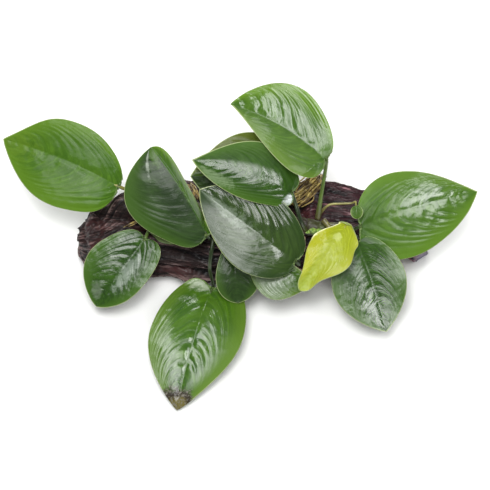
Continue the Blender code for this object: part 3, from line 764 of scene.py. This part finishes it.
def stalkSkin(name, look):
    made, tree, shader = newMaterial(name, Coat_Weight=0.3, Coat_Roughness=0.15, Roughness=0.35)
    light, dark, top = look
    color = mix(ramp(objectNoise(tree, 90), 0.35, 0.7), light, dark)
    u = ownValue(tree, "along")
    color = mix(ramp(u, 0.35, 0.0), color, (0.075, 0.065, 0.02))
    color = mix(ramp(u, 0.8, 1.0), color, top)
    fibres = objectNoise(tree, 420, 4, (1, 1, 0.25), 0.65)
    pale = [c * 1.7 for c in light]
    color = mix(times(ramp(fibres, 0.52, 0.7), 0.6), color, pale)
    feed(shader, "Base Color", color)
    bump(shader, fibres, 0.0003, 0.6)
    return made


# The creeping stem: swollen rings where old leaves stood
stem = dict(
    path=[(38, -9, 32.5), (30, -8.5, 34), (20, -7.5, 34.5), (8, -5, 34.5), (-6, -3, 34.5),
          (-20, -0.5, 34.5), (-32, 1, 34), (-39, 1.5, 33)],
    radius=4.2, rings=15, ringHeight=0.1, ringTilt=0.25, ringShape=0.6, lump=0.09, end=0.75,
    endTo=0.15, along=260, around=40)


def makeRhizome():
    def radiusAt(u, angle):
        phase = u * stem["rings"] + stem["ringTilt"] * sin(angle)
        ring = 1 + stem["ringHeight"] * (abs(sin(pi * phase)) ** stem["ringShape"] - 0.6)
        lump = noiseAt(u * 18, cos(angle) * 1.5, sin(angle) * 1.5) * stem["lump"] + 1
        end = stem["end"]
        taper = end + (1 - end) * ease(0.0, stem["endTo"], min(u, 1 - u))
        return stem["radius"] * ring * lump * taper * closedEnds(u, 0.025)

    bm = bmesh.new()
    rolled(bm, smoothPath(stem["path"]), radiusAt, stem["along"], stem["around"])
    made, tree, shader = newMaterial("rhizomeSkin", Roughness=0.5, Coat_Weight=0.2)
    patches = ramp(objectNoise(tree, 140, 4), 0.35, 0.65)
    color = mix(patches, (0.055, 0.070, 0.016), (0.022, 0.015, 0.007))
    turns = times(ownValue(tree, "along"), float(stem["rings"]))
    rings = maths("PINGPONG", turns, 1.0)
    color = mix(ramp(rings, 0.2, 0.0), color, (0.016, 0.009, 0.005))
    feed(shader, "Base Color", color)
    bump(shader, objectNoise(tree, 700, 4), 0.0004, 0.6)
    finishTube("creepingStem", bm, made, "rhizome", "rhizome")


# The growing point: pointed buds of rolled sheaths, as middle, length, width and lean
buds = [
    ((31.4, -12.6, 37), 4.4, 2.2, (-0.4, -0.3, 0.8)),
    ((33.6, -11.8, 36), 3.2, 1.5, (0.6, -0.2, 0.6)),
    ((29.6, -12.4, 36), 3, 1.4, (-0.7, -0.5, 0.4)),
]
spiral = dict(turns=2.5, step=0.24, inner=0.86, taper=0.6)


def makeBud():
    bm = bmesh.new()
    sheathOf = bm.verts.layers.float.new("along")
    for middle, long, wide, lean in buds:
        made = bmesh.ops.create_uvsphere(bm, u_segments=48, v_segments=60, radius=1)
        aim = Vector(lean).normalized().to_track_quat("Z", "Y")
        for vert in made["verts"]:
            # each sheath overlaps the next one in a spiral step
            u = (vert.co.z + 1) / 2
            angle = atan2(vert.co.y, vert.co.x)
            step = (angle / (2 * pi) + u * spiral["turns"]) % 1.0
            girth = wide * (1 - spiral["taper"] * u)
            girth *= spiral["inner"] + spiral["step"] * step
            vert[sheathOf] = step
            turned = aim @ Vector((vert.co.x * girth, vert.co.y * girth, vert.co.z * long))
            vert.co = Vector(middle) + turned
    made, tree, shader = newMaterial("budSkin", Coat_Weight=0.3, Coat_Roughness=0.2, Roughness=0.4)
    color = mix(ownValue(tree, "along"), (0.10, 0.22, 0.03), (0.30, 0.42, 0.08))
    patches = ramp(objectNoise(tree, 500), 0.5, 0.7)
    color = mix(patches, color, (0.08, 0.15, 0.02))
    feed(shader, "Base Color", color)
    bump(shader, objectNoise(tree, 900, 3, (1, 1, 0.3)), 0.0002, 0.5)
    finishTube("growingBud", bm, made, "stalk", "bud")


# Roots: one bare root loops beside the leaves
loop = dict(
    path=[(27, -12.5, 31.5), (26.5, -19, 28), (21.5, -23, 23), (26.5, -26.4, 20), (29, -26, 12)],
    radius=[0.6, 0.6, 0.6, 0.6, 0.5], lump=0.16, along=120, around=14)


def rootSkin(name, light, dark):
    made, tree, shader = newMaterial(name, Roughness=0.55, Coat_Weight=0.15)
    color = mix(ramp(objectNoise(tree, 260, 4), 0.35, 0.66), light, dark)
    feed(shader, "Base Color", color)
    bump(shader, objectNoise(tree, 1200, 4), 0.0003, 0.6)
    return made


def makeLoop():
    def radiusAt(u, angle):
        lump = 1 + loop["lump"] * noiseAt(u * 22, cos(angle), sin(angle))
        return between(loop["radius"], u) * lump * closedEnds(u, 0.02)

    bm = bmesh.new()
    rolled(bm, smoothPath(loop["path"]), radiusAt, loop["along"], loop["around"])
    finish = rootSkin("paleRoot", (0.62, 0.46, 0.33), (0.42, 0.26, 0.17))
    finishTube("holdingRoot_loop", bm, finish, "root_pale", "root_loop")


# Flat fans of thin roots: one arches over the back of the wood, the others hold the stem to it
fans = dict(
    bundle=dict(
        path=[(19, 5, 33.5), (26, 11, 34), (32.5, 18, 34.5), (34.5, 23.5, 30), (35.5, 28.5, 20)],
        radius=[4.6, 4.6, 3.2, 2.2, 1.2], strands=26, thickness=(0.2, 0.6), wander=1),
    left=dict(
        path=[(-25, 3, 35), (-28, 11, 33), (-30, 19, 28), (-29, 25, 19), (-31, 27, 9)],
        radius=[1.6, 1.9, 1.5, 1, 0.6], strands=10, thickness=(0.2, 0.45), wander=0.5),
    back=dict(
        path=[(4, -2, 35), (6, 9, 32.5), (5, 18, 27), (7, 25, 17), (5, 26.5, 8)],
        radius=[1.4, 1.5, 1.2, 0.9, 0.6], strands=8, thickness=(0.2, 0.45), wander=0.4),
    along=dict(
        path=[(-36, 0, 32), (-45, -4, 31.5), (-54, -3, 30.5), (-64, -6, 28.5)],
        radius=[0.8, 0.7, 0.6, 0.4], strands=4, thickness=(0.18, 0.32), wander=0.35))
# How a strand is drawn; flat is the thickness of its fan to the width
strand = dict(flat=0.5, spread=1.35, knots=9, steps=5, along=24, around=7)
goldRoot = dict(pale=(0.55, 0.42, 0.12), brown=(0.14, 0.07, 0.018), stain=(0.04, 0.02, 0.007))


def makeFan(name, row, finish, seed):
    chance = random.Random(seed)
    middle = smoothPath(row["path"])
    bm = bmesh.new()
    toneOf = bm.verts.layers.float.new("tone")
    for number in range(row["strands"]):
        place = 2 * (number + 0.5) / row["strands"] - 1
        layer = chance.uniform(-1, 1)
        start = chance.uniform(0.0, 0.15)
        end = chance.uniform(0.75, 1.0)
        route = []
        for i in range(strand["knots"]):
            u = start + (end - start) * i / (strand["knots"] - 1)
            aim = pathAim(middle, u)
            side = aim.cross(Vector((0, 0, 1))).normalized()
            sway = Vector([chance.uniform(-1, 1) * row["wander"] for _ in range(3)])
            wide = between(row["radius"], u)
            spread = side * place * wide * strand["spread"]
            spread += aim.cross(side) * layer * wide * strand["flat"]
            route.append(pathPoint(middle, u) + spread + sway)
        thick = chance.uniform(*row["thickness"])
        tone = chance.uniform(0, 1)
        before = len(bm.verts)
        rolled(bm, smoothPath(route, strand["steps"]),
               lambda u, angle: thick * closedEnds(u, 0.08), strand["along"], strand["around"])
        bm.verts.ensure_lookup_table()
        for vert in bm.verts[before:]:
            vert[toneOf] = tone
    piece = "rootStrands" if name == "bundle" else "holdingRoot_" + name
    finishTube(piece, bm, finish, "root_brown", "root_" + name)


def fanSkin():
    made, tree, shader = newMaterial("goldRoot", Roughness=0.5, Coat_Weight=0.25, Coat_Roughness=0.2)
    color = mix(ownValue(tree, "tone"), goldRoot["pale"], goldRoot["brown"])
    stains = ramp(objectNoise(tree, 300, 4), 0.42, 0.62)
    color = mix(times(stains, 0.8), color, goldRoot["stain"])
    feed(shader, "Base Color", color)
    bump(shader, objectNoise(tree, 1200, 4), 0.0003, 0.6)
    return made


# Driftwood: the same stations as the solid, with ridges and cracks along the grain
wood = dict(
    reach=89, shift=2, below=3, squareness=0.86, cap=10,
    slantFrom=(52, 80), slant=21, fade=12, around=400, along=220,
    stations=[
        (-87, -3, 17.5, 25), (-76, -3, 18.5, 27), (-62, 0, 23, 30), (-45, 2, 25, 31),
        (-20, 0, 25, 31), (10, 1, 24, 30), (35, 3, 23, 28), (60, 4, 20, 26), (78, 6, 15, 21),
        (91, 2, 11, 14)],
    swells=[(0.03, 0.11, 2, 0), (0.025, 0.23, -3, 1.3)],
    # furrows and ridges: angle round the wood, its turn per mm, width, height, start and end
    furrows=[
        (95, 1.53, 7, -0.32, -98, -38), (-18, 0.1, 16, 0.1, -85, 10),
        (62, 0.05, 8, 0.06, -80, 60), (80, -0.05, 6, -0.09, -70, 75), (98, 0.02, 7, 0.07, -60, 70),
        (40, 0.08, 7, -0.06, -10, 85), (22, -0.05, 6, 0.05, 15, 85), (2, -0.04, 7, -0.08, 20, 88),
        (-35, 0.05, 8, -0.08, -70, 80), (-60, 0.04, 10, 0.06, -80, 60),
        (-88, -0.06, 8, -0.12, -50, 85), (-112, 0.03, 9, 0.06, -70, 70), (92, 0, 24, 0.55, 80, 120)],
    # grain: cells round the wood, cells per mm along it, height in mm, how narrow the cracks are
    grain=[(3.2, 0.026, 1.3, 1.6), (6.5, 0.032, 1.1, 1.8), (13, 0.045, 1, 1.5),
           (27, 0.065, 0.6, 1.2)],
    drift=0.5, driftScale=0.025, bend=0.35, bendScale=0.09, crackSlope=2.6,
    lump=1.2, lumpScale=0.09, crumb=0.35, crumbScale=0.45, proud=1, girth=22,
    knots=3.5, knotScale=0.22, knotsTo=(62, 78), slantRound=(0.55, 1.12),
    splinter=4, splinterFrom=0.82, torn=(0.35, 0.8), capRoundness=0.6, capReach=1.03, core=20,
    knob=(31, 7, 28), knobSize=(3.6, 7.4, 4.6), knobHeight=4.2, knobFade=(0.2, 1.6),
    knobAbove=10)
# The (left, right) colours of wood and of its pale ridges, partly wear and partly painted highlight,
# the ranges of x, z and height over which one thing turns into another, and how strong each is
woodPaint = dict(
    body=((0.02, 0.011, 0.0105), (0.032, 0.008, 0.011)),
    ridge=((0.16, 0.105, 0.1), (0.23, 0.1, 0.115)),
    crack=(0.002, 0.0015, 0.002), blotch=(0.08, 0.018, 0.018),
    hair=(0.006, 0.004, 0.004), paleEnd=(0.24, 0.23, 0.31),
    redder=(0, 0.035), low=(0.022, 0.008), broken=(0.08, 0.087), crackTo=(0.1, 1.7),
    ridgeTo=(0, 0.55), ridgeFrom=1.75, ridgeLower=0.65, fibres=1.8, bands=2.4,
    spots=(0.5, 0.66), blotchShare=0.5, hairShare=0.8, paleEndShare=0.75)


def woodStation(x):
    rows = wood["stations"]
    x = min(max(x, rows[0][0]), rows[-1][0])
    for before, after in zip(rows, rows[1:]):
        if x <= after[0]:
            break
    t = (x - before[0]) / (after[0] - before[0])
    t = t * t * (3 - 2 * t)
    return [a + (b - a) * t for a, b in zip(before[1:], after[1:])]


def woodRelief(x, angle):
    total = 0.0
    for at, turn, width, height, start, end in wood["furrows"]:
        away = (angle - at - turn * x + 180) % 360 - 180
        rise = min(max((x - start) / wood["fade"], 0.0), 1.0)
        fall = min(max((end - x) / wood["fade"], 0.0), 1.0)
        total += height * exp(-(away / width) ** 2) * rise * fall
    for height, waves, turns, phase in wood["swells"]:
        total += height * sin(x * waves + radians(angle) * turns + phase)
    return total


def woodGrain(x, a):
    # 0 on a ridge, below 0 in the cracks between the ridges
    total = 0.0
    drift = wood["drift"] * noiseAt(x * wood["driftScale"], 3.1, 0.4)
    for rounds, speed, height, narrow in wood["grain"]:
        bend = a + drift + wood["bend"] / rounds * noiseAt(x * wood["bendScale"], rounds, a * 2)
        cell = noiseAt(x * speed + rounds * 7, cos(bend) * rounds, sin(bend) * rounds)
        crack = max(1 - abs(cell) * wood["crackSlope"], 0.0)
        total -= height * crack ** (2 * narrow)
    return total


def squared(value):
    return copysign(abs(value) ** wood["squareness"], value)


def woodPoint(reach, angle, ring):
    a = radians(angle)
    x = wood["reach"] * reach + wood["shift"]
    middle, halfDepth, top = woodStation(x)
    halfHeight = (top + wood["below"]) / 2
    grain = woodGrain(x, a)
    around = Vector((x, cos(a) * wood["core"], sin(a) * wood["core"]))
    rough = wood["lump"] * noise.noise(around * wood["lumpScale"])
    rough += wood["crumb"] * noise.noise(around * wood["crumbScale"])
    rough += wood["knots"] * ease(*wood["knotsTo"], -x) * noise.noise(around * wood["knotScale"])
    crust = (grain * ring + rough + wood["proud"]) / wood["girth"]
    scale = ring * (1 + woodRelief(x, angle) + crust)
    y = -squared(sin(a)) * halfDepth
    z = squared(cos(a)) * halfHeight
    # behind the long groove the left end is cut off at a slant
    slant = wood["slant"] * ring * ease(*wood["slantRound"], -sin(a))
    x += slant * ease(*wood["slantFrom"], -x)
    ends = ease(wood["splinterFrom"], 1.0, abs(reach))
    cell = Vector((cos(a) * ring * 4, sin(a) * ring * 4, reach * 2))
    torn = noise.noise(cell) + 0.5 * noise.noise(cell * 2.7)
    least, more = wood["torn"]
    x -= copysign(wood["splinter"] * ends * (least + more * torn), reach)
    return Vector((x, middle + y * scale, halfHeight - wood["below"] + z * scale)), grain


def makeWood():
    bm = bmesh.new()
    grainOf = bm.verts.layers.float.new("grain")
    bmesh.ops.create_uvsphere(bm, u_segments=wood["around"], v_segments=wood["along"], radius=1,
                              matrix=Matrix.Rotation(pi / 2, 4, "Y"))
    for vert in bm.verts:
        flat = hypot(vert.co.y, vert.co.z)
        angle = degrees(atan2(-vert.co.y, vert.co.z))
        latitude = atan2(vert.co.x, flat) / (pi / 2)
        ring = min(1.0, (1 - abs(latitude)) * wood["cap"]) ** wood["capRoundness"]
        reach = copysign(min(abs(latitude) * wood["capReach"], 1.0), latitude)
        vert.co, vert[grainOf] = woodPoint(reach, angle, ring)
        # the stub of a side branch stands out of the top
        away = vert.co - Vector(wood["knob"])
        size = wood["knobSize"]
        near = sqrt(sum((away[i] / size[i]) ** 2 for i in range(3)))
        if near < wood["knobFade"][1] and vert.co.z > wood["knobAbove"]:
            vert.co.z += wood["knobHeight"] * (1 - ease(*wood["knobFade"], near))
    bmesh.ops.bisect_plane(bm, geom=bm.verts[:] + bm.edges[:] + bm.faces[:], dist=0.0001,
                           plane_co=(0, 0, 0), plane_no=(0, 0, -1), clear_outer=True)
    rim = [edge for edge in bm.edges if edge.is_boundary]
    bmesh.ops.edgeloop_fill(bm, edges=rim)

    made, tree, shader = newMaterial("wetWood", Coat_Weight=0.25, Coat_Roughness=0.18,
                                     Specular_IOR_Level=0.2)
    grain = ownValue(tree, "grain")
    fibres = objectNoise(tree, 160, 5, (0.055, 1, 1), 0.68)
    bands = objectNoise(tree, 380, 3, (0.03, 1, 1), 0.5)
    hairs = objectNoise(tree, 700, 4, (0.05, 1, 1), 0.6)
    blotches = objectNoise(tree, 45, 4, (0.5, 1, 1), 0.6)
    height = plus(grain, times(fibres, woodPaint["fibres"]))
    height = plus(height, times(bands, woodPaint["bands"]))
    # near-black cracks, partly the wood's own dark and partly painted shade; brown wood; pale ridges,
    # partly wear and partly painted highlight; redder towards the right end, paler low down
    place = addNode(tree, "SeparateXYZ", {0: addNode(tree, "TexCoord").outputs["Object"]}).outputs
    red = ramp(place[0], *woodPaint["redder"])
    low = ramp(place[2], *woodPaint["low"])
    body = mix(red, *woodPaint["body"])
    ridge = mix(red, *woodPaint["ridge"])
    color = mix(ramp(height, *woodPaint["crackTo"]), woodPaint["crack"], body)
    above = minus(height, minus(woodPaint["ridgeFrom"], times(low, woodPaint["ridgeLower"])))
    color = mix(ramp(above, *woodPaint["ridgeTo"]), color, ridge)
    blotchy = times(ramp(blotches, *woodPaint["spots"]), woodPaint["blotchShare"])
    color = mix(blotchy, color, woodPaint["blotch"])
    hairy = times(ramp(hairs, *woodPaint["spots"]), woodPaint["hairShare"])
    color = mix(hairy, color, woodPaint["hair"])
    # the broken right end is paler and lavender low down
    paleEnd = times(ramp(place[0], *woodPaint["broken"]), low)
    color = mix(times(paleEnd, woodPaint["paleEndShare"]), color, woodPaint["paleEnd"])
    feed(shader, "Base Color", color)
    feed(shader, "Roughness", plus(times(fibres, 0.5), 0.35))
    first = bump(shader, hairs, 0.0007, 1.0)
    bump(shader, fibres, 0.0016, 1.0, first)
    addPiece("weatheredWood", bm, [made], "driftwood", "driftwood")


print("driftwood")
makeWood()
print("rhizome and roots")
makeRhizome()
makeLoop()
strandFinish = fanSkin()
for seed, (name, row) in enumerate(fans.items()):
    makeFan(name, row, strandFinish, seed + 4)

print("leaves")
stalkSkins = {kind: stalkSkin(kind + "Stalk", look) for kind, look in stalkLooks.items()}
for seed, (name, row) in enumerate(leaves.items()):
    leaf = {**plainLeaf, **row}
    look = leafLooks[leaf["look"]]
    finishes = [leafTop("leafTop_" + name, look, leaf), leafUnder("leafUnder_" + name, look)]
    makeBlade(name, leaf, finishes, seed * 7.3)
    makeStalk(name, leaf, stalkSkins[leaf["stalk"]])

makeBud()
